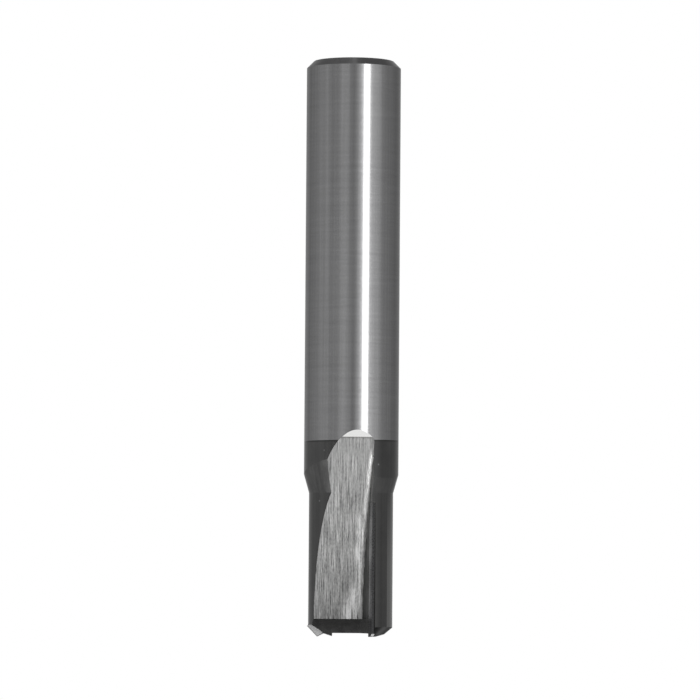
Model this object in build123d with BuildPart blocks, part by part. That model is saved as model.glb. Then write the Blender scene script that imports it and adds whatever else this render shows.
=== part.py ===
from build123d import *
import os
from math import cos, radians, sin, tan

# A straight router bit with two brazed cutting tips and a small plunge tip.
# Millimetres and degrees. The tool axis is Z: the shank's free end is at z = 0 and the cutter points up.
# Angles about the axis are measured from +X, anticlockwise seen from the cutter's end.
# The bit cuts anticlockwise in that view, so what lies behind a cutting edge has a smaller angle.

# Shank
shank_diameter = 12.0
shank_end_chamfer = 0.9

# Lengths along the axis. Those of the cutter are measured back from its end face.
body_length = 73.15
head_length = 18.15
gullet_length = 25.1
end_bevel_length = 2.25
tip_length = 16.83
tip_end_setback = 0.12

# Cutting circle and the two relieved lands
cutting_diameter = 11.16
front_edge_angle = -119.0
edge_angles = {"front": front_edge_angle, "rear": front_edge_angle + 180.0}
land_radius = 4.94
land_offset = 0.53
land_offset_lag = 20.0
land_sweep = 150.0
land_overlap = 5.0
land_taper_slope = 0.28

# Gullets, ground by the rim of a wheel whose axle is a little askew
wheel_radius = 79.0
wheel_skew = 15.0
wheel_setback = 0.75
web_half = 2.18
gullet_lead = 29.0
gullet_corner_radius = 0.7
rake = 4.5
runout_lead = 21.5
runout_depth = 5.67
runout_angle = 19.2
runout_ramp_angle = 8.5
runout_ramp_length = 2.45
end_bevel_angle = 22.0

# End of the cutter: turned with a chamfer and a dish, then slotted across
end_chamfer_angle = 40.0
end_chamfer_radius = 4.32
end_dish_angle = 16.2
end_ridge_radius = 3.29
end_slot_width = 4.58
end_slot_depth = 0.45

# Lower ground of the end behind the plunge tip
plunge_relief_sweep = 75.0
plunge_relief_chamfer_angle = 33.0
plunge_relief_chamfer_radius = 3.67
plunge_relief_dish_angle = 18.6

# Main cutting tips
tip_width = 0.95
tip_thickness = 0.45
tip_clearance = 12.0
tip_corner_bevel = 0.3

# Plunge tip
plunge_face = 0.1
plunge_thickness = 0.6
plunge_corner_radius = 5.49
plunge_corner_setback = 1.31
plunge_edge_angle = 46.3
plunge_edge_length = 1.88
plunge_tilt = 26.0
plunge_length = 2.4
plunge_clearance = 0.12
plunge_notch_width = 2.6
plunge_notch_corner = 0.45

# Braze seams
braze = 0.1
braze_setback = 0.12

# How near a plane an edge must lie to be counted as in it
in_plane = 0.0001

# Values worked out from those above
shank_radius = shank_diameter / 2
cutting_radius = cutting_diameter / 2
head_start = body_length - head_length
runout_start = body_length - gullet_length
gullet_end = body_length - end_bevel_length
wheel_height = body_length - wheel_setback
tip_start = body_length - tip_end_setback - tip_length
plunge_corner_height = body_length - plunge_corner_setback
end_slot_side = end_slot_width / 2
clear_radius = shank_radius * 1.5
clear_height = body_length + shank_radius


def around(angle, radius=1.0):
    """The point at an angle about the axis and a distance from it."""
    return radius * cos(radians(angle)), radius * sin(radians(angle))


def end_profile(ridge_radius, dish_angle, shoulder_radius, chamfer_angle, rim_radius):
    """The end in half section: its highest ring, the shoulder where the chamfer starts, the rim."""
    shoulder_height = body_length - (shoulder_radius - ridge_radius) * tan(radians(dish_angle))
    rim_height = shoulder_height - (rim_radius - shoulder_radius) * tan(radians(chamfer_angle))
    return [(ridge_radius, body_length), (shoulder_radius, shoulder_height), (rim_radius, rim_height)]


def axial_plane(angle):
    """A plane through the axis: its X runs outward at the angle, its Y runs along the axis."""
    x, y = around(angle)
    return Plane(origin=(0, 0, 0), x_dir=(x, y, 0), z_dir=(y, -x, 0))


# Turned bar, before any grinding
turned_end = end_profile(
    end_ridge_radius, end_dish_angle, end_chamfer_radius, end_chamfer_angle, shank_radius
)
with BuildPart() as turned_bar:
    with BuildSketch(Plane.XZ):
        with BuildLine():
            Polyline(
                (0, body_length),
                *turned_end,
                (shank_radius, shank_end_chamfer),
                (shank_radius - shank_end_chamfer, 0),
                (0, 0),
                close=True,
            )
        make_face()
    revolve(axis=Axis.Z)


def land_grind(edge_angle):
    """What is ground away outside one land, from just ahead of its edge back to the next gullet."""
    offset_x, offset_y = around(edge_angle - land_offset_lag, land_offset)
    land_axis = Axis((offset_x, offset_y, 0), (0, 0, 1))
    taper_radius = shank_radius + 2 * land_offset
    taper_top = head_start - (taper_radius - land_radius) / land_taper_slope
    with BuildPart() as grind:
        with BuildSketch(axial_plane(edge_angle - land_sweep)):
            with Locations((clear_radius / 2, (taper_top + clear_height) / 2)):
                Rectangle(clear_radius, clear_height - taper_top)
        revolve(axis=Axis.Z, revolution_arc=land_sweep + land_overlap)
        with BuildSketch(Plane(origin=(offset_x, offset_y, 0), x_dir=(1, 0, 0), z_dir=(0, -1, 0))):
            with BuildLine():
                Polyline(
                    (0, taper_top),
                    (taper_radius, taper_top),
                    (land_radius, head_start),
                    (land_radius, clear_height),
                    (0, clear_height),
                    close=True,
                )
            make_face()
        revolve(axis=land_axis, mode=Mode.SUBTRACT)
    return grind.part


def rake_plane(edge_angle):
    """The flat wall of a gullet: origin on the cutting edge, X outward, Y along the axis, Z into the body."""
    x, y = around(edge_angle, cutting_radius)
    out_x, out_y = around(edge_angle + rake)
    return Plane(origin=(x, y, 0), x_dir=(out_x, out_y, 0), z_dir=(out_y, -out_x, 0))


def gullet_grind(edge_angle):
    """What is ground away in front of one cutting edge: floor, run-out and the bevel at the end."""
    face_x, face_y = around(edge_angle + gullet_lead)
    side_x, side_y = -face_y, face_x
    lean = radians(wheel_skew)
    wheel_plane = Plane(
        origin=(0, 0, wheel_height),
        x_dir=(face_x, face_y, 0),
        z_dir=(side_x * cos(lean), side_y * cos(lean), sin(lean)),
    )
    reach = clear_height - wheel_height
    runout_reach = clear_radius - runout_depth
    ramp_end = runout_start + runout_ramp_length
    bevel_reach = clear_height - gullet_end
    with BuildPart() as grind:
        with BuildSketch(wheel_plane):
            with Locations((web_half + wheel_radius, 0)):
                Circle(wheel_radius)
            with Locations((clear_radius / 2, (wheel_height - reach) / 2)):
                Rectangle(clear_radius, wheel_height + reach, mode=Mode.INTERSECT)
        extrude(amount=clear_radius, both=True)
        split(bisect_by=rake_plane(edge_angle), keep=Keep.BOTTOM)
        split(bisect_by=Plane.XY.offset(runout_start), keep=Keep.TOP)
        corner = grind.edges().filter_by(GeomType.LINE, reverse=True).filter_by(
            lambda edge: abs(rake_plane(edge_angle).to_local_coords(edge.center()).Z) < in_plane
        )
        fillet(corner.sort_by(Axis((0, 0, 0), (face_x, face_y, 0)))[0], gullet_corner_radius)
    with BuildPart() as ends:
        with BuildSketch(axial_plane(edge_angle + runout_lead)):
            with BuildLine():
                Polyline(
                    (runout_depth, runout_start),
                    (runout_depth - runout_ramp_length * tan(radians(runout_ramp_angle)), ramp_end),
                    (clear_radius, ramp_end),
                    (clear_radius, runout_start - runout_reach / tan(radians(runout_angle))),
                    close=True,
                )
            make_face()
        extrude(amount=clear_radius, both=True)
        with BuildSketch(axial_plane(edge_angle + gullet_lead)):
            with BuildLine():
                Polyline(
                    (web_half, gullet_end),
                    (web_half - bevel_reach * tan(radians(end_bevel_angle)), clear_height),
                    (clear_radius, clear_height),
                    (clear_radius, gullet_end),
                    close=True,
                )
            make_face()
        extrude(amount=clear_radius, both=True)
        split(bisect_by=rake_plane(edge_angle), keep=Keep.BOTTOM)
    return grind.part + ends.part


def plate_section(edge_angle, height):
    """The plane of a cutting tip's cross-section: origin on the edge, X outward, -Y into the body."""
    x, y = around(edge_angle, cutting_radius)
    out_x, out_y = around(edge_angle + rake)
    return Plane(origin=(x, y, height), x_dir=(out_x, out_y, 0), z_dir=(0, 0, 1))


# The flank falls away behind the edge by the clearance, measured from the tangent of the cutting circle.
flank_drop = tip_thickness * tan(radians(tip_clearance + rake))


def cutting_tip(edge_angle):
    """One hard plate with its rake face in the gullet's wall and its edge on the cutting circle."""
    x, y = around(edge_angle)
    with BuildPart() as plate:
        with BuildSketch(plate_section(edge_angle, tip_start)):
            with BuildLine():
                Polyline(
                    (0, 0), (-tip_width, 0), (-tip_width, -tip_thickness), (-flank_drop, -tip_thickness),
                    close=True,
                )
            make_face()
        extrude(amount=tip_length)
        outward = Axis((0, 0, 0), (x, y, 0))
        chamfer(plate.edges().group_by(Axis.Z)[-1].sort_by(outward)[-1], tip_corner_bevel)
    return plate.part


def tip_seat(edge_angle, proud):
    """The pocket milled for a tip and its braze. A proud pocket is cut clear of the land."""
    back = -(tip_thickness + braze)
    inner = -(tip_width + braze)
    outer = clear_radius if proud else -flank_drop - braze_setback
    with BuildPart() as seat:
        with BuildSketch(plate_section(edge_angle, tip_start - braze)):
            with BuildLine():
                Polyline((outer, 0), (inner, 0), (inner, back), (outer, back), close=True)
            make_face()
        extrude(amount=clear_height - tip_start)
    return seat.part


# Plunge tip: a tilted plate across the end, its face just ahead of the centre line at angle zero
plunge_plane = Plane(origin=(0, plunge_face, 0), x_dir=(1, 0, 0), z_dir=(0, -1, 0))
along_x, along_z = -cos(radians(plunge_tilt)), -sin(radians(plunge_tilt))
edge_x, edge_z = -cos(radians(plunge_edge_angle)), sin(radians(plunge_edge_angle))


def plunge_outline(inset, length, margin=0.0):
    """Corners of the plate: outer corner, end corner, then the two inner ones."""
    outer = (
        plunge_corner_radius + along_x * inset - edge_x * margin,
        plunge_corner_height + along_z * inset - edge_z * margin,
    )
    span = plunge_edge_length - inset + margin
    end = (outer[0] + edge_x * span, outer[1] + edge_z * span)
    return [
        outer,
        end,
        (end[0] + along_x * (length - inset), end[1] + along_z * (length - inset)),
        (outer[0] + along_x * (length - inset), outer[1] + along_z * (length - inset)),
    ]


with BuildPart() as plunge_tip:
    for depth, inset in ((0.0, 0.0), (plunge_thickness, plunge_clearance)):
        with BuildSketch(plunge_plane.offset(depth)):
            with BuildLine():
                Polyline(*plunge_outline(inset, plunge_length), close=True)
            make_face()
    loft()
plunge_tip.part.label = "plunge_tip"

# The pocket round the plate and its braze runs out past the end face, so the plate drops in from outside.
pocket_outer, pocket_end, pocket_inner_end, pocket_inner_outer = plunge_outline(
    0.0, plunge_length + braze, braze
)
pocket_lift = clear_height - body_length
pocket_mouth = (pocket_outer[0] - along_x * pocket_lift, pocket_outer[1] - along_z * pocket_lift)
pocket_outline = [
    pocket_mouth,
    pocket_inner_outer,
    pocket_inner_end,
    (pocket_inner_end[0], clear_height),
    (pocket_mouth[0], clear_height),
]
with BuildPart() as plunge_seat:
    with BuildSketch(plunge_plane):
        with BuildLine():
            Polyline(*pocket_outline, close=True)
        make_face()
    extrude(amount=plunge_thickness + braze)

# The chip notch in front of the plunge tip has the same outline.
with BuildPart() as plunge_notch:
    with BuildSketch(plunge_plane):
        with BuildLine():
            Polyline(*pocket_outline, close=True)
        make_face()
    extrude(amount=-plunge_notch_width)
    notch_corners = plunge_notch.faces().sort_by(Axis.Y)[-1].edges().sort_by(Axis.Z)[:2]
    fillet(notch_corners, plunge_notch_corner)

# Behind the plunge tip the end is ground a little lower than the turned one.
relieved_end = end_profile(
    end_slot_side, plunge_relief_dish_angle, plunge_relief_chamfer_radius, plunge_relief_chamfer_angle,
    clear_radius,
)
with BuildPart() as plunge_relief:
    with BuildSketch(axial_plane(-plunge_relief_sweep)):
        with BuildLine():
            Polyline(
                *relieved_end,
                (clear_radius, clear_height),
                (end_slot_side, clear_height),
                close=True,
            )
        make_face()
    revolve(axis=Axis.Z, revolution_arc=plunge_relief_sweep)

# A shallow slot across the end from gullet to gullet, so that the centre never rubs
with BuildPart() as end_slot:
    with BuildSketch(Plane.XY.offset(body_length - end_slot_depth)):
        Rectangle(end_slot_width, shank_diameter)
    extrude(amount=clear_height - body_length)

# The bar as turned and with its lands and end ground, before the gullets and seats are cut
with BuildPart() as ground_bar:
    add(turned_bar.part)
    for edge_angle in edge_angles.values():
        add(land_grind(edge_angle), mode=Mode.SUBTRACT)
    add(plunge_relief.part, mode=Mode.SUBTRACT)
    add(end_slot.part, mode=Mode.SUBTRACT)

with BuildPart() as tool_body:
    add(ground_bar.part)
    for edge_angle in edge_angles.values():
        add(gullet_grind(edge_angle), mode=Mode.SUBTRACT)
        add(tip_seat(edge_angle, proud=True), mode=Mode.SUBTRACT)
    add(plunge_notch.part, mode=Mode.SUBTRACT)
    add(plunge_seat.part, mode=Mode.SUBTRACT)
tool_body.part.label = "tool_body"

# The plunge tip's braze lies behind the plate, under its lower side and at its inner end.
with BuildPart() as braze_plunge:
    with BuildSketch(plunge_plane):
        with BuildLine():
            Polyline(*plunge_outline(plunge_clearance, plunge_length + braze, braze), close=True)
        make_face()
    extrude(amount=plunge_thickness + braze)
    add(ground_bar.part, mode=Mode.INTERSECT)
    add(plunge_tip.part, mode=Mode.SUBTRACT)
braze_plunge.part.label = "braze_plunge"

os.makedirs("parts", exist_ok=True)
export_step(tool_body.part, "parts/tool_body.step")
export_step(plunge_tip.part, "parts/plunge_tip.step")
export_step(braze_plunge.part, "parts/braze_plunge.step")

# The two side tips and their braze
for side, edge_angle in edge_angles.items():
    tip = cutting_tip(edge_angle)
    tip.label = f"cutting_tip_{side}"
    export_step(tip, f"parts/cutting_tip_{side}.step")
    with BuildPart() as seam:
        add(tip_seat(edge_angle, proud=False))
        add(ground_bar.part, mode=Mode.INTERSECT)
        add(tip, mode=Mode.SUBTRACT)
    seam.part.label = f"braze_{side}"
    export_step(seam.part, f"parts/braze_{side}.step")
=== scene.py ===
import bpy
import math
from types import SimpleNamespace
from mathutils import Matrix, Vector

# A straight router bit standing on its shank, cutter up. Metres, in the frame of the CAD model.
# Places and patterns are laid out in millimetres, and MM turns them into metres. The scale of a pattern is
# how many of its marks go to a millimetre, so 1 / 0.5 stands for marks half a millimetre wide.
MM = 0.001

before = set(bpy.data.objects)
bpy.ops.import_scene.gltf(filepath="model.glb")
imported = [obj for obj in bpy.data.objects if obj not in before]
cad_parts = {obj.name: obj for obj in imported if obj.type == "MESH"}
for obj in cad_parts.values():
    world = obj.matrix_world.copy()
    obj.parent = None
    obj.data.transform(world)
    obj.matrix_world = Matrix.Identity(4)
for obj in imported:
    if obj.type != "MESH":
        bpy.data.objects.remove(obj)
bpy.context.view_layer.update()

# Heights along the tool, in millimetres, where one finish gives way to the next
RUN_OUT_RIDGE = 48.05
BLACKENING_STARTS = 48.37
TAPER_IS_BELOW = 56.0
GULLET_ENDS = 70.9

# Settings of the mix node: one colour laid over another, or one tinted by another
COVERED = {"data_type": "RGBA"}
TINTED = {"data_type": "RGBA", "blend_type": "MULTIPLY"}


def linear(hex_colour):
    """An sRGB hex colour as Blender's linear colour."""
    channels = [int(hex_colour[i : i + 2], 16) / 255 for i in (1, 3, 5)]
    return [c / 12.92 if c <= 0.04045 else ((c + 0.055) / 1.055) ** 2.4 for c in channels] + [1.0]


def node(tree, kind, inputs=(), stops=(), **settings):
    """Adds one node with its settings, and its inputs set to values or linked to other nodes' outputs.

    An input is named, or numbered where its name isn't the only one: 0 is a mix's factor, 2 and 3 are its
    two numbers, 6 and 7 its two colours, 1 to 4 are the from and to values of a map range, and 0 to 2 are
    the terms of a sum. A node given for an input stands for its first output in use. A colour ramp takes
    stops, each a position and a grey level or a colour.
    """
    made = tree.nodes.new(kind)
    for name, value in settings.items():
        setattr(made, name, value)
    for key, value in dict(inputs).items():
        if isinstance(value, bpy.types.Node):
            value = next(output for output in value.outputs if output.enabled)
        if isinstance(value, bpy.types.NodeSocket):
            tree.links.new(value, made.inputs[key])
        else:
            made.inputs[key].default_value = value
    if stops:
        marks = made.color_ramp.elements
        while len(marks) < len(stops):
            marks.new(0.5)
        for mark, (position, level) in zip(marks, stops):
            mark.position = position
        for mark, (position, level) in zip(marks, stops):
            mark.color = level if isinstance(level, list) else [level, level, level, 1.0]
    return made


def new_material(name):
    """A material with an empty node tree, and that tree."""
    material = bpy.data.materials.new(name)
    material.use_nodes = True
    tree = material.node_tree
    tree.nodes.clear()
    return material, tree


def place_in_millimetres(tree):
    """The point on the surface, in millimetres from the centre of the shank's end."""
    metres = node(tree, "ShaderNodeTexCoord").outputs["Object"]
    return node(tree, "ShaderNodeVectorMath", {0: metres, "Scale": 1 / MM}, operation="SCALE")


def surface_places(tree):
    """Where a point lies and which way it faces.

    across, facing_x and facing_y are turned by half a turn on the rear half, so that one rule places a
    finish on both gullets, both lands and both tips.
    """
    place = place_in_millimetres(tree)
    at = node(tree, "ShaderNodeSeparateXYZ", {0: place})
    normal = node(tree, "ShaderNodeNewGeometry").outputs["True Normal"]
    facing = node(tree, "ShaderNodeSeparateXYZ", {0: normal})
    side = node(tree, "ShaderNodeMath", {0: at.outputs["Y"]}, operation="SIGN")
    side = node(tree, "ShaderNodeMath", {0: side, 1: -1.0}, operation="MULTIPLY")
    across, facing_x, facing_y = [
        node(tree, "ShaderNodeMath", {0: part, 1: side}, operation="MULTIPLY")
        for part in (at.outputs["X"], facing.outputs["X"], facing.outputs["Y"])
    ]
    return SimpleNamespace(
        place=place,
        x=at.outputs["X"],
        y=at.outputs["Y"],
        height=at.outputs["Z"],
        across=across,
        facing_x=facing_x,
        facing_y=facing_y,
        facing_up=facing.outputs["Z"],
    )


def finish_masks(tree, on):
    """Where each finish of the tool's body lies, and where shade is painted along the ridge, as masks from 0
    to 1.

    from_ring is no mask: it is the height in millimetres above the ring where the blackening starts.
    """
    # The head is black above a crisp ring, a little out of square because the bar was dipped by hand
    across_ring = (-0.0125, 0.0, 1.0)
    from_ring = node(tree, "ShaderNodeVectorMath", {0: on.place, 1: across_ring}, operation="DOT_PRODUCT")
    from_ring = node(tree, "ShaderNodeMath", {0: from_ring, 1: BLACKENING_STARTS}, operation="SUBTRACT")
    above_ring = node(tree, "ShaderNodeMath", {0: from_ring, 1: 0.0}, operation="GREATER_THAN")

    # A gullet's floor faces out. Its corner and wall turn aside, on the wall's half of the tool, where the
    # land turns the other way.
    ground = node(tree, "ShaderNodeMath", {0: on.facing_x, 1: -0.2}, operation="GREATER_THAN")
    faces_out = node(tree, "ShaderNodeMath", {0: on.facing_y, 1: -0.4}, operation="LESS_THAN")
    past_land = node(tree, "ShaderNodeMath", {0: on.facing_x, 1: 0.2}, operation="LESS_THAN")
    by_wall = node(tree, "ShaderNodeMath", {0: on.across, 1: 0.0}, operation="LESS_THAN")
    floor_side = node(tree, "ShaderNodeMath", {0: past_land, 1: by_wall}, operation="MAXIMUM")
    below_end = node(tree, "ShaderNodeMath", {0: on.height, 1: GULLET_ENDS}, operation="LESS_THAN")
    for mask in (faces_out, floor_side, below_end):
        ground = node(tree, "ShaderNodeMath", {0: ground, 1: mask}, operation="MULTIPLY")
    in_head = node(tree, "ShaderNodeMath", {0: on.height, 1: RUN_OUT_RIDGE}, operation="GREATER_THAN")
    gullet = node(tree, "ShaderNodeMath", {0: ground, 1: in_head}, operation="MULTIPLY")
    not_gullet = node(tree, "ShaderNodeMath", {0: 1.0, 1: gullet}, operation="SUBTRACT")
    black = node(tree, "ShaderNodeMath", {0: above_ring, 1: not_gullet}, operation="MULTIPLY")

    # The taper behind the head, the run-out's cap below the ridge, and the bevel at the gullet's end
    leans = node(tree, "ShaderNodeMath", {0: on.facing_up, 1: 0.1}, operation="GREATER_THAN")
    low_enough = node(tree, "ShaderNodeMath", {0: on.height, 1: TAPER_IS_BELOW}, operation="LESS_THAN")
    taper = node(tree, "ShaderNodeMath", {0: low_enough, 1: leans}, operation="MULTIPLY")
    before_ridge = node(tree, "ShaderNodeMath", {0: 1.0, 1: in_head}, operation="SUBTRACT")
    cap = node(tree, "ShaderNodeMath", {0: leans, 1: before_ridge}, operation="MULTIPLY")
    bevel = node(tree, "ShaderNodeMath", {0: 1.0, 1: below_end}, operation="SUBTRACT")
    plain_bevel = node(tree, "ShaderNodeMath", {0: on.facing_y, 1: -0.9}, operation="LESS_THAN")
    for mask in (plain_bevel, leans):
        bevel = node(tree, "ShaderNodeMath", {0: bevel, 1: mask}, operation="MULTIPLY")

    # Painted shade: a dark line 0.2 mm wide along the ridge, where the cap meets the floor
    from_ridge = node(tree, "ShaderNodeMath", {0: on.height, 1: RUN_OUT_RIDGE + 0.02}, operation="SUBTRACT")
    from_ridge = node(tree, "ShaderNodeMath", {0: from_ridge}, operation="ABSOLUTE")
    ridge_shade = node(tree, "ShaderNodeMapRange", {"Value": from_ridge, 1: 0.06, 2: 0.13, 3: 1.0, 4: 0.0})
    ridge_shade_strength = 0.6
    for share in (ground, ridge_shade_strength):
        ridge_shade = node(tree, "ShaderNodeMath", {0: ridge_shade, 1: share}, operation="MULTIPLY")
    return SimpleNamespace(
        from_ring=from_ring, gullet=gullet, black=black, taper=taper, cap=cap, bevel=bevel, ridge_shade=ridge_shade
    )


def ground_gullet(tree, on):
    """Gullet steel as a grinding wheel's rim leaves it: bright, with coarse streaks along the tool.

    Gives its tone, the height of its streaks and its roughness.
    """
    wall = node(tree, "ShaderNodeMath", {0: on.facing_x, 1: 0.8}, operation="GREATER_THAN")
    # The wheel's grit is 0.1 to 0.2 mm, so its streaks are about 0.14 mm wide. They are 4 mm long, with marks
    # in them a ninth as long.
    sideways = node(tree, "ShaderNodeMix", {0: wall, 2: on.x, 3: on.y})
    along = node(tree, "ShaderNodeCombineXYZ", {0: sideways, 1: on.facing_y, 2: on.height})
    along = node(tree, "ShaderNodeMapping", {"Vector": along, "Scale": (7.4, 1.0, 0.26)})
    coarse = {"Vector": along, "Scale": 1.0, "Detail": 4.0, "Roughness": 0.7}
    streaks = node(tree, "ShaderNodeTexNoise", coarse)
    short = {"Vector": along, "Location": (9.0, 0.0, 0.0), "Scale": (1.0, 1.0, 9.0)}
    grit = node(tree, "ShaderNodeMapping", short)
    grit = node(tree, "ShaderNodeTexNoise", {"Vector": grit, "Scale": 1.0, "Detail": 2.0})
    streaks = node(tree, "ShaderNodeMix", {0: 0.2, 2: streaks, 3: grit})
    # The wheel cut deeper up the floor, so the streaks there are stronger
    deeper = node(tree, "ShaderNodeMapRange", {"Value": on.height, 1: 50.0, 2: 60.0, 3: 0.82, 4: 1.3})
    depth = node(tree, "ShaderNodeMath", {0: streaks, 1: 0.5}, operation="SUBTRACT")
    depth = node(tree, "ShaderNodeMath", {0: depth, 1: deeper, 2: 0.5}, operation="MULTIPLY_ADD")
    streak_stops = [(0.36, linear("#757575")), (0.64, linear("#fcfcfb"))]
    tone = node(tree, "ShaderNodeValToRGB", {"Fac": depth}, streak_stops)

    # Swells 2.5 mm wide and 10 mm long, where the wheel bore harder. The floor is darker at both its ends, as
    # painted shade.
    wide = node(tree, "ShaderNodeMapping", {"Vector": on.place, "Scale": (1 / 2.5, 1 / 10, 1 / 10)})
    swells = node(tree, "ShaderNodeTexNoise", {"Vector": wide, "Scale": 1.0, "Detail": 2.0})
    swell_tone = node(tree, "ShaderNodeValToRGB", {"Fac": swells}, [(0.3, 0.76), (0.7, 0.98)])
    up_the_floor = node(tree, "ShaderNodeMapRange", {"Value": on.height, 1: RUN_OUT_RIDGE, 2: GULLET_ENDS})
    floor_end_shade_stops = [(0.0, 0.81), (0.3, 0.82), (0.5, 0.84), (0.64, 0.94), (0.96, 0.8)]
    floor_end_shade = node(tree, "ShaderNodeValToRGB", {"Fac": up_the_floor}, floor_end_shade_stops)
    # The swells tint the tone, and the painted shade darkens both ends of the floor
    for tint in (swell_tone, floor_end_shade):
        tone = node(tree, "ShaderNodeMix", {0: 1.0, 6: tone, 7: tint}, **TINTED)

    # Painted highlights: a slanting patch near the end and a narrow strip by the corner, up to twice as
    # bright as the floor around them
    patch = node(tree, "ShaderNodeVectorMath", {0: on.place, 1: (-0.05, 0.0, 69.4)}, operation="SUBTRACT")
    slant = {"Vector": patch, "Angle": math.radians(-14)}
    patch = node(tree, "ShaderNodeVectorRotate", slant, rotation_type="Y_AXIS")
    patch = node(tree, "ShaderNodeVectorMath", {0: patch, 1: (0.95, 0.0, 0.34)}, operation="MULTIPLY")
    patch = node(tree, "ShaderNodeVectorMath", {0: patch}, operation="LENGTH")
    patch = node(tree, "ShaderNodeMapRange", {"Value": patch, 1: 0.3, 2: 1.3, 3: 1.0, 4: 0.0})
    strip = node(tree, "ShaderNodeVectorMath", {0: on.place, 1: (-0.95, 0.0, 62.0)}, operation="SUBTRACT")
    strip = node(tree, "ShaderNodeVectorMath", {0: strip, 1: (2.6, 0.0, 0.15)}, operation="MULTIPLY")
    strip = node(tree, "ShaderNodeVectorMath", {0: strip}, operation="LENGTH")
    strip = node(tree, "ShaderNodeMapRange", {"Value": strip, 1: 0.3, 2: 1.1, 3: 0.55, 4: 0.0})
    painted_highlights = node(tree, "ShaderNodeMath", {0: patch, 1: strip}, operation="MAXIMUM")
    twice_as_bright = [2.0, 2.0, 2.0, 1.0]
    # The painted highlights brighten the floor's tone up to twofold
    tone = node(tree, "ShaderNodeMix", {0: painted_highlights, 6: tone, 7: twice_as_bright}, **TINTED)

    # Painted highlight: the corner's hollow is painted near white where it turns towards the wall, up to
    # about 58 mm
    corner_highlight = node(tree, "ShaderNodeMapRange", {"Value": on.facing_x, 1: 0.25, 2: 0.42})
    highlight_fade = node(tree, "ShaderNodeMapRange", {"Value": on.height, 1: 53.0, 2: 58.5, 3: 1.0, 4: 0.0})
    before_wall = node(tree, "ShaderNodeMath", {0: on.facing_x, 1: 0.77}, operation="LESS_THAN")
    for mask in (highlight_fade, before_wall):
        corner_highlight = node(tree, "ShaderNodeMath", {0: corner_highlight, 1: mask}, operation="MULTIPLY")
    # Painted shade: the wall beside the tip is painted darker the higher it is
    wall_shade = node(tree, "ShaderNodeMapRange", {"Value": on.height, 1: 54.0, 2: 62.0, 3: 0.25, 4: 0.84})
    wall_shade = node(tree, "ShaderNodeMath", {0: wall_shade, 1: wall}, operation="MULTIPLY")
    # Paints the corner's highlight near white and the wall's shade dark grey
    for mask, cover in ((corner_highlight, "#fefefd"), (wall_shade, "#4a4a49")):
        tone = node(tree, "ShaderNodeMix", {0: mask, 6: tone, 7: linear(cover)}, **COVERED)
    roughness = node(tree, "ShaderNodeMapRange", {"Value": swells, 3: 0.30, 4: 0.38})
    return tone, streaks, roughness


def ground_shank(tree, on, lobes):
    """Shank steel as centreless grinding leaves it: marks round the bar, too fine to see singly.

    It mirrors the studio in clean upright bands. Gives its tone, the height of its marks and its roughness.
    """
    # The true marks are 0.03 mm apart. They are drawn 0.45 mm apart, so that they show at all.
    around = node(tree, "ShaderNodeMapping", {"Vector": on.place, "Scale": (0.12, 0.12, 2.2)})
    marks = {"Vector": around, "Scale": 1.0, "Detail": 4.0, "Roughness": 0.7}
    marks = node(tree, "ShaderNodeTexNoise", marks)
    steel_stops = [(0.3, linear("#b9b9ba")), (0.7, linear("#c3c3c4"))]
    tone = node(tree, "ShaderNodeValToRGB", {"Fac": marks}, steel_stops)
    # The lobes show as faint upright lines. Over them lies a fine grain, 0.14 mm across.
    lobe_tone = node(tree, "ShaderNodeValToRGB", {"Fac": lobes}, [(0.3, 0.95), (0.7, 1.12)])
    fine = node(tree, "ShaderNodeTexNoise", {"Vector": on.place, "Scale": 7.0, "Detail": 2.0})
    fine_tone = node(tree, "ShaderNodeValToRGB", {"Fac": fine}, [(0.3, 0.95), (0.7, 1.05)])
    for tint in (lobe_tone, fine_tone):
        tone = node(tree, "ShaderNodeMix", {0: 1.0, 6: tone, 7: tint}, **TINTED)
    height = node(tree, "ShaderNodeMath", {0: marks, 1: 0.01}, operation="MULTIPLY")
    roughness = node(tree, "ShaderNodeMapRange", {"Value": marks, 3: 0.14, 4: 0.18})
    return tone, height, roughness


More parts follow.
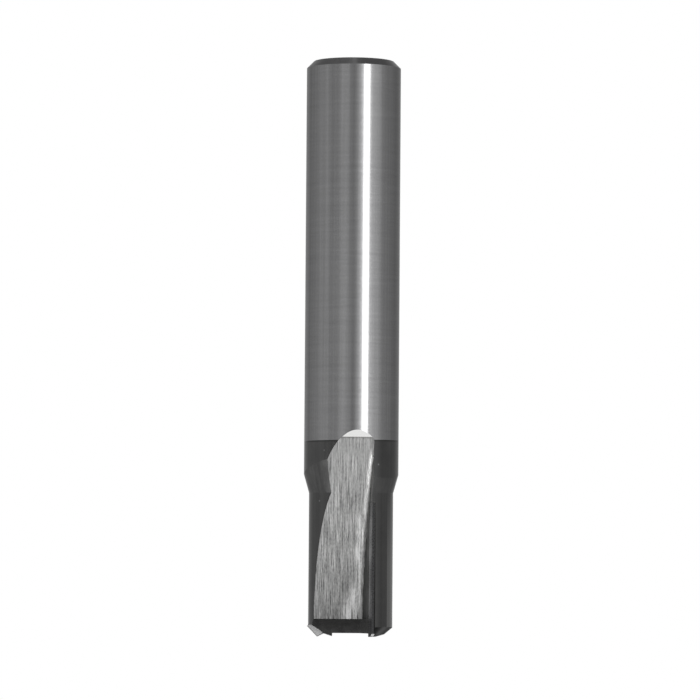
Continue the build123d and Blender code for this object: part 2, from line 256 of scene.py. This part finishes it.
def blackening(tree, on, masks, lobes):
    """Black oxide from a hot bath: thin, dark and satin, so the grinding shows through it.

    Gives its tone and its roughness.
    """
    # Clouds 2 mm wide, where the bath worked a little more or less
    clouds = {"Vector": on.place, "Scale": 0.45, "Detail": 5.0, "Roughness": 0.6}
    clouds = node(tree, "ShaderNodeTexNoise", clouds)
    oxide_stops = [(0.3, linear("#747474")), (0.7, linear("#848483"))]
    tone = node(tree, "ShaderNodeValToRGB", {"Fac": clouds}, oxide_stops)
    # The upright lines of the grinding show more here than on the bare shank
    lines = node(tree, "ShaderNodeValToRGB", {"Fac": lobes}, [(0.3, 0.8), (0.7, 1.2)])

    # Painted light and shade: the oxide's tone follows which way the surface faces, dark across the front and
    # paler towards both sides, most on the wall's side.
    round_land = node(tree, "ShaderNodeMapRange", {"Value": on.facing_x, 1: -1.0, 2: 1.0})
    facing_light_and_shade_stops = [
        (0.0, 1.0),
        (0.05, 0.85),
        (0.1, 0.72),
        (0.17, 0.55),
        (0.35, 0.5),
        (0.72, 0.52),
        (0.82, 0.74),
        (0.9, 0.82),
        (0.96, 0.78),
        (1.0, 0.5),
    ]
    facing_light_and_shade = node(tree, "ShaderNodeValToRGB", {"Fac": round_land}, facing_light_and_shade_stops)
    # The front and rear halves of a land meet where y is 0, and their painted light and shade fades to one
    # grey 1.4 mm to each side of it
    off_middle = node(tree, "ShaderNodeMath", {0: on.y}, operation="ABSOLUTE")
    off_middle = node(tree, "ShaderNodeMapRange", {"Value": off_middle, 1: 0.0, 2: 1.4})
    middle_grey = [0.75, 0.75, 0.75, 1.0]
    facing_light_and_shade = node(tree, "ShaderNodeMix", {0: off_middle, 6: middle_grey, 7: facing_light_and_shade}, **COVERED)
    # The taper behind the head has its own painted light and shade, by which way it faces, over that of the
    # lands, so that it reads nearly one grey all round
    taper_light_and_shade_stops = [(0.6, 1.0), (0.76, 0.8), (0.82, 0.84), (0.87, 1.14), (0.91, 1.22), (0.96, 0.95)]
    taper_light_and_shade = node(tree, "ShaderNodeValToRGB", {"Fac": round_land}, taper_light_and_shade_stops)
    # The grinding's lines, and the painted light and shade of the lands and of the taper, tint the oxide
    for mask, tint in ((1.0, lines), (1.0, facing_light_and_shade), (masks.taper, taper_light_and_shade)):
        tone = node(tree, "ShaderNodeMix", {0: mask, 6: tone, 7: tint}, **TINTED)

    # Painted sheen: on each land a band is painted paler where the land turns aside, towards the end, 1 to 3
    # mm off the land's middle on the tip's side
    edge_sheen = node(tree, "ShaderNodeMapRange", {"Value": on.facing_x, 1: -0.825, 2: -0.88})
    towards_end = node(tree, "ShaderNodeMapRange", {"Value": on.height, 1: 54.0, 2: 64.0})
    for mask in (towards_end, off_middle):
        edge_sheen = node(tree, "ShaderNodeMath", {0: edge_sheen, 1: mask}, operation="MULTIPLY")
    # The first 0.2 mm is darker, where the bath dried
    rim = node(tree, "ShaderNodeMapRange", {"Value": masks.from_ring, 1: 0.12, 2: 0.26, 3: 0.75, 4: 0.0})
    # Here and there a speck 0.2 mm across is knocked off, at most one to each 2 mm
    chips = node(tree, "ShaderNodeTexVoronoi", {"Vector": on.place, "Scale": 1 / 2.0})
    chips = node(tree, "ShaderNodeMapRange", {"Value": chips, 1: 0.03, 2: 0.07, 3: 0.7, 4: 0.0})
    # Lays on the painted sheen, the darker rim and the chips
    for mask, cover in ((edge_sheen, "#b8b8b7"), (rim, "#3a3a3a"), (chips, "#bcbcbd")):
        tone = node(tree, "ShaderNodeMix", {0: mask, 6: tone, 7: linear(cover)}, **COVERED)
    roughness = node(tree, "ShaderNodeMapRange", {"Value": clouds, 3: 0.22, 4: 0.28})
    return tone, roughness


def bevel_black_and_shade(tree, on):
    """The blackening on the bevel at a gullet's end, darkened by painted shade far below the lands, paler
    upwards and mottled by drips 0.6 mm wide.
    """
    bevel_height = 2.2
    up_bevel = {"Value": on.height, 1: GULLET_ENDS, 2: GULLET_ENDS + bevel_height}
    up_bevel = node(tree, "ShaderNodeMapRange", up_bevel)
    bevel_shade_stops = [(0.0, linear("#242423")), (0.3, linear("#2e2e2d")), (1.0, linear("#4b4b4a"))]
    tone = node(tree, "ShaderNodeValToRGB", {"Fac": up_bevel}, bevel_shade_stops)
    drips = {"Vector": on.place, "Scale": 1.6, "Detail": 3.0, "Roughness": 0.6}
    drips = node(tree, "ShaderNodeTexNoise", drips)
    drip_tone = node(tree, "ShaderNodeValToRGB", {"Fac": drips}, [(0.35, 0.35), (0.65, 0.9)])
    return node(tree, "ShaderNodeMix", {0: 1.0, 6: tone, 7: drip_tone}, **TINTED)


def tool_steel():
    """Tool steel in three finishes on one bar.

    The shank is centreless ground, so it mirrors the studio in clean upright bands. The head is blackened
    by a thin oxide, dark, satin and a little cloudy. The gullets were ground by a wheel's rim after that,
    so they are bright, with coarse streaks along the tool.
    """
    material, tree = new_material("tool_steel_ground_and_blackened")
    on = surface_places(tree)
    masks = finish_masks(tree, on)
    # Centreless grinding leaves the bar very slightly lobed, in upright lines half a millimetre wide
    upright = node(tree, "ShaderNodeMapping", {"Vector": on.place, "Scale": (1 / 0.5, 1 / 0.5, 0.015)})
    lobes = {"Vector": upright, "Scale": 1.0, "Detail": 3.0, "Roughness": 0.7}
    lobes = node(tree, "ShaderNodeTexNoise", lobes)
    gullet_tone, gullet_relief, gullet_roughness = ground_gullet(tree, on)
    shank_tone, shank_relief, shank_roughness = ground_shank(tree, on, lobes)
    black_tone, black_roughness = blackening(tree, on, masks, lobes)

    colour = shank_tone
    layers = [
        (masks.black, black_tone),
        (masks.gullet, gullet_tone),
        # The bevel's blackening, darkened by painted shade
        (masks.bevel, bevel_black_and_shade(tree, on)),
        (masks.cap, linear("#f0f0ef")),
        # Painted shade along the ridge
        (masks.ridge_shade, linear("#5c5a58")),
    ]
    for mask, cover in layers:
        colour = node(tree, "ShaderNodeMix", {0: mask, 6: colour, 7: cover}, **COVERED)
    roughness = node(tree, "ShaderNodeMix", {0: masks.black, 2: shank_roughness, 3: black_roughness})
    roughness = node(tree, "ShaderNodeMix", {0: masks.gullet, 2: roughness, 3: gullet_roughness})
    relief = node(tree, "ShaderNodeMix", {0: masks.gullet, 2: shank_relief, 3: gullet_relief})
    bump = node(tree, "ShaderNodeBump", {"Height": relief, "Strength": 0.25, "Distance": 0.02 * MM})
    # The blackening holds a film of oil, which shines where it is seen aslant
    oiled_steel = {
        "Base Color": colour,
        "Roughness": roughness,
        "Metallic": 1.0,
        "Normal": bump,
        "Coat Weight": masks.black,
        "Coat Roughness": 0.2,
    }
    shader = node(tree, "ShaderNodeBsdfPrincipled", oiled_steel)
    node(tree, "ShaderNodeOutputMaterial", {"Surface": shader})
    return material


def carbide():
    """Sintered tungsten carbide, diamond ground: grey, its lapped rake face brighter than the flanks."""
    material, tree = new_material("tungsten_carbide_diamond_ground")
    on = surface_places(tree)
    # The grinding leaves a grain under 0.05 mm, drawn 0.17 mm across so that it shows
    grain = node(tree, "ShaderNodeTexNoise", {"Vector": on.place, "Scale": 6.0, "Detail": 3.0})
    flank_stops = [(0.3, linear("#6c6c6d")), (0.7, linear("#767677"))]
    rake_stops = [(0.3, linear("#9e9e9f")), (0.7, linear("#a8a8a9"))]
    flank_tone = node(tree, "ShaderNodeValToRGB", {"Fac": grain}, flank_stops)
    rake_tone = node(tree, "ShaderNodeValToRGB", {"Fac": grain}, rake_stops)

    # Painted shade: a dark line on the flank beside the braze, where the gap at the seam lies in shade, more
    # so near the end
    braze_gap_shade = node(tree, "ShaderNodeMapRange", {"Value": on.across, 1: -2.92, 2: -3.04})
    near_end = node(tree, "ShaderNodeMapRange", {"Value": on.height, 1: 55.0, 2: 70.0})
    braze_gap_shade = node(tree, "ShaderNodeMath", {0: braze_gap_shade, 1: near_end}, operation="MULTIPLY")
    flank_tone = node(tree, "ShaderNodeMix", {0: braze_gap_shade, 6: flank_tone, 7: linear("#333334")}, **COVERED)

    # It stains the rake face on both sides of a lapped line, about 0.35 mm wide, which leans 1 in 35
    line_lean = -0.0285
    line_foot = 4.22
    off_line = {0: on.height, 1: line_lean, 2: on.across}
    off_line = node(tree, "ShaderNodeMath", off_line, operation="MULTIPLY_ADD")
    off_line = node(tree, "ShaderNodeMath", {0: off_line, 1: line_foot}, operation="ADD")
    off_line = node(tree, "ShaderNodeMath", {0: off_line}, operation="ABSOLUTE")
    off_line = node(tree, "ShaderNodeMapRange", {"Value": off_line, 1: 0.08, 2: 0.28})
    rake_tone = node(tree, "ShaderNodeMix", {0: off_line, 6: rake_tone, 7: linear("#78787a")}, **COVERED)
    # The rake face is cleaner towards the end, where it cuts most
    cleaner = node(tree, "ShaderNodeMapRange", {"Value": on.height, 1: 58.0, 2: 67.0, 3: 0.7, 4: 1.1})
    rake_tone = node(tree, "ShaderNodeMix", {0: 1.0, 6: rake_tone, 7: cleaner}, **TINTED)
    rake_face = node(tree, "ShaderNodeMath", {0: on.facing_x, 1: 0.8}, operation="GREATER_THAN")

    # The small bevel at the corner was honed last and is matte; its near white is partly its pale grind and
    # partly a painted reflection of the bright surroundings
    honed_bevel_and_reflection = node(tree, "ShaderNodeMath", {0: on.facing_up, 1: 0.5}, operation="GREATER_THAN")
    not_level = node(tree, "ShaderNodeMath", {0: on.facing_up, 1: 0.9}, operation="LESS_THAN")
    honed_bevel_and_reflection = node(tree, "ShaderNodeMath", {0: honed_bevel_and_reflection, 1: not_level}, operation="MULTIPLY")
    colour = flank_tone
    # The rake face, then the corner's bevel with its painted reflection, lie over the flank
    for mask, cover in ((rake_face, rake_tone), (honed_bevel_and_reflection, linear("#ececec"))):
        colour = node(tree, "ShaderNodeMix", {0: mask, 6: colour, 7: cover}, **COVERED)
    roughness = node(tree, "ShaderNodeMapRange", {"Value": grain, 3: 0.24, 4: 0.32})
    metallic = node(tree, "ShaderNodeMath", {0: 1.0, 1: honed_bevel_and_reflection}, operation="SUBTRACT")
    ground_plate = {"Base Color": colour, "Roughness": roughness, "Metallic": metallic}
    shader = node(tree, "ShaderNodeBsdfPrincipled", ground_plate)
    node(tree, "ShaderNodeOutputMaterial", {"Surface": shader})
    return material


def plunge_carbide():
    """Carbide fresh from the diamond wheel: pale and satin, since every face of it was ground last."""
    material, tree = new_material("tungsten_carbide_fresh_ground")
    # Slanting lines of the last pass, 1 mm long and about 0.2 mm apart
    slanted = {"Vector": place_in_millimetres(tree), "Rotation": (0.0, 0.5, 0.0), "Scale": (1.0, 4.0, 6.0)}
    slanted = node(tree, "ShaderNodeMapping", slanted)
    lines = node(tree, "ShaderNodeTexNoise", {"Vector": slanted, "Scale": 1.0, "Detail": 3.0})
    pale_stops = [(0.3, linear("#d2d2d2")), (0.7, linear("#e0e0e0"))]
    tone = node(tree, "ShaderNodeValToRGB", {"Fac": lines}, pale_stops)
    roughness = node(tree, "ShaderNodeMapRange", {"Value": lines, 3: 0.4, 4: 0.5})
    fresh_plate = {"Base Color": tone, "Roughness": roughness, "Metallic": 1.0}
    shader = node(tree, "ShaderNodeBsdfPrincipled", fresh_plate)
    node(tree, "ShaderNodeOutputMaterial", {"Surface": shader})
    return material


def silver_braze():
    """Silver braze as it froze: a thin line, dulled by flux and lumpy, and painted darker near the end as
    shade in its groove.
    """
    material, tree = new_material("silver_braze_flux_dulled")
    place = place_in_millimetres(tree)
    # Lumps 0.2 mm across
    lumps = node(tree, "ShaderNodeTexNoise", {"Vector": place, "Scale": 1 / 0.2, "Detail": 3.0})
    clean_stops = [(0.3, linear("#626260")), (0.7, linear("#706f6c"))]
    shaded_near_end_stops = [(0.3, linear("#343331")), (0.7, linear("#444340"))]
    clean = node(tree, "ShaderNodeValToRGB", {"Fac": lumps}, clean_stops)
    shaded_near_end = node(tree, "ShaderNodeValToRGB", {"Fac": lumps}, shaded_near_end_stops)
    height = node(tree, "ShaderNodeSeparateXYZ", {0: place}).outputs["Z"]
    near_end = node(tree, "ShaderNodeMapRange", {"Value": height, 1: 56.0, 2: 68.0})
    # Painted shade: the seam darkens towards the end
    tone = node(tree, "ShaderNodeMix", {0: near_end, 6: clean, 7: shaded_near_end}, **COVERED)
    roughness = node(tree, "ShaderNodeMapRange", {"Value": lumps, 3: 0.4, 4: 0.6})
    bump = node(tree, "ShaderNodeBump", {"Height": lumps, "Strength": 0.15, "Distance": 0.02 * MM})
    dull_seam = {"Base Color": tone, "Roughness": roughness, "Metallic": 1.0, "Normal": bump}
    shader = node(tree, "ShaderNodeBsdfPrincipled", dull_seam)
    node(tree, "ShaderNodeOutputMaterial", {"Surface": shader})
    return material


def dress(material, *node_names):
    """Gives a material to every slot of the named pieces."""
    for name in node_names:
        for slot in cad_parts[name].material_slots:
            slot.material = material


# Camera: a little above the middle of the bit, and upside down, since the bit hangs cutter down in the
# picture
camera_place = Vector((0.0, -540.0, 63.3)) * MM
camera_target = Vector((0.26, 0.0, 36.8)) * MM
camera_lens = 218.65
camera_roll = math.radians(0.40)


def add_camera():
    """The picture's view: aimed at the target, then rolled by half a turn and camera_roll."""
    back = (camera_place - camera_target).normalized()
    up = Vector((math.sin(camera_roll), 0.0, -math.cos(camera_roll)))
    right = up.cross(back).normalized()
    up = back.cross(right)
    data = bpy.data.cameras.new("camera")
    data.lens = camera_lens
    data.sensor_width = 36.0
    data.clip_start = 0.01
    data.clip_end = 20.0
    camera = bpy.data.objects.new("camera", data)
    turn = Matrix((right, up, back)).transposed()
    camera.matrix_world = Matrix.Translation(camera_place) @ turn.to_4x4()
    bpy.context.collection.objects.link(camera)
    bpy.context.scene.camera = camera


# The tent's brightness, as degrees and a level. Bearings go round the tool from the camera's side, positive
# towards -X, and tent_upward goes from straight down to straight up.
tent_round_middle = [
    (-180, 0.34),
    (-130, 0.20),
    (-70, 0.355),
    (-66, 0.37),
    (-61, 0.275),
    (-45, 0.275),
    (-36, 0.30),
    (-29, 0.39),
    (-21, 0.43),
    (-10, 0.34),
    (-3, 0.26),
    (3, 0.21),
    (10, 0.38),
    (16, 0.52),
    (21, 0.80),
    (43, 0.68),
    (48, 0.60),
    (56, 0.56),
    (66, 0.46),
    (76, 0.31),
    (83, 0.265),
    (103, 0.22),
    (118, 0.175),
    (132, 0.165),
    (153, 0.23),
    (180, 0.42),
]
tent_round_top = [
    (-180, 0.08),
    (-145, 0.20),
    (-100, 0.30),
    (-74, 0.36),
    (-60, 0.65),
    (-45, 1.30),
    (-28, 1.55),
    (-12, 1.25),
    (2, 0.42),
    (25, 0.41),
    (60, 0.41),
    (110, 0.26),
    (148, 0.15),
    (156, 0.08),
    (180, 0.08),
]
tent_upward = [
    (-90, 0.155),
    (-60, 0.155),
    (-45, 0.13),
    (-12, 0.22),
    (-6.6, 0.237),
    (-4.6, 0.25),
    (1, 0.25),
    (6, 0.22),
    (12, 0.22),
    (18, 0.24),
    (26, 0.25),
    (32, 0.56),
    (38, 0.60),
    (44, 0.05),
    (53, 0.05),
    (63, 0.30),
    (90, 0.30),
]
# The middle's bearings hold up to 5 degrees up the tent, and the top's from 12 degrees
middle_ends = math.radians(5)
top_starts = math.radians(12)
tent_strength = 4.0


def add_tent():
    """A soft tent of light: dim below, bright in a band 30 to 40 degrees up, dark over that, pale on top.

    The camera itself sees white paper in its place.
    """
    world = bpy.data.worlds.new("soft_tent")
    world.use_nodes = True
    tree = world.node_tree
    tree.nodes.clear()
    direction = node(tree, "ShaderNodeTexCoord").outputs["Generated"]
    part = node(tree, "ShaderNodeSeparateXYZ", {0: direction})
    x = node(tree, "ShaderNodeMath", {0: part.outputs["X"], 1: -1.0}, operation="MULTIPLY")
    y = node(tree, "ShaderNodeMath", {0: part.outputs["Y"], 1: -1.0}, operation="MULTIPLY")
    bearing = node(tree, "ShaderNodeMath", {0: x, 1: y}, operation="ARCTAN2")
    turn = node(tree, "ShaderNodeMapRange", {"Value": bearing, 1: -math.pi, 2: math.pi})
    middle_stops = [((degrees + 180) / 360, level) for degrees, level in tent_round_middle]
    top_stops = [((degrees + 180) / 360, level) for degrees, level in tent_round_top]
    middle = node(tree, "ShaderNodeValToRGB", {"Fac": turn}, middle_stops)
    top = node(tree, "ShaderNodeValToRGB", {"Fac": turn}, top_stops)
    height = node(tree, "ShaderNodeMath", {0: part.outputs["Z"]}, operation="ARCSINE")
    above = node(tree, "ShaderNodeMapRange", {"Value": height, 1: middle_ends, 2: top_starts})
    wall = node(tree, "ShaderNodeMix", {0: above, 6: middle, 7: top}, **COVERED)
    height = {"Value": height, 1: -math.pi / 2, 2: math.pi / 2}
    height = node(tree, "ShaderNodeMapRange", height)
    upward_stops = [((degrees + 90) / 180, level) for degrees, level in tent_upward]
    rise = node(tree, "ShaderNodeValToRGB", {"Fac": height}, upward_stops)
    light = node(tree, "ShaderNodeMix", {0: 1.0, 6: wall, 7: rise}, **TINTED)
    tent = node(tree, "ShaderNodeBackground", {"Color": light, "Strength": tent_strength})
    paper = node(tree, "ShaderNodeBackground", {"Color": linear("#ffffff"), "Strength": 1.0})
    seen = node(tree, "ShaderNodeLightPath").outputs["Is Camera Ray"]
    both = node(tree, "ShaderNodeMixShader", {0: seen, 1: tent, 2: paper})
    node(tree, "ShaderNodeOutputWorld", {"Surface": both})
    bpy.context.scene.world = world


def add_softbox(name, bearing, height, distance, width, length, watts):
    """An upright rectangle of light that faces the middle of the tool."""
    data = bpy.data.lights.new(name, "AREA")
    data.shape = "RECTANGLE"
    data.size = width
    data.size_y = length
    data.energy = watts
    box = bpy.data.objects.new(name, data)
    turn = math.radians(bearing)
    place = Vector((-math.sin(turn) * distance, -math.cos(turn) * distance, height))
    tool_middle = Vector((0.0, 0.0, 40.0 * MM))
    facing = tool_middle - place
    box.matrix_world = Matrix.Translation(place) @ facing.to_track_quat("-Z", "Y").to_matrix().to_4x4()
    box.visible_camera = False
    bpy.context.collection.objects.link(box)


def add_floor():
    """White paper lit until it is pure white, under the bit and 4 m to each side."""
    size = 4.0
    mesh = bpy.data.meshes.new("paper_floor")
    corners = [(-size, -size, 0), (size, -size, 0), (size, size, 0), (-size, size, 0)]
    mesh.from_pydata(corners, [], [(0, 1, 2, 3)])
    floor = bpy.data.objects.new("paper_floor", mesh)
    material, tree = new_material("white_paper_lit")
    glow = node(tree, "ShaderNodeEmission", {"Color": linear("#ffffff"), "Strength": 1.0})
    node(tree, "ShaderNodeOutputMaterial", {"Surface": glow})
    mesh.materials.append(material)
    bpy.context.collection.objects.link(floor)
    floor.visible_glossy = False
    floor.visible_diffuse = False
    floor.visible_shadow = False


dress(tool_steel(), "tool_body")
dress(carbide(), "cutting_tip_front", "cutting_tip_rear")
dress(plunge_carbide(), "plunge_tip")
dress(silver_braze(), "braze_front", "braze_rear", "braze_plunge")
add_camera()
add_tent()
add_softbox("key_strip", bearing=32.6, height=0.05, distance=0.55, width=0.150, length=0.6, watts=0.62)
add_floor()
bpy.context.scene.view_settings.view_transform = "Standard"
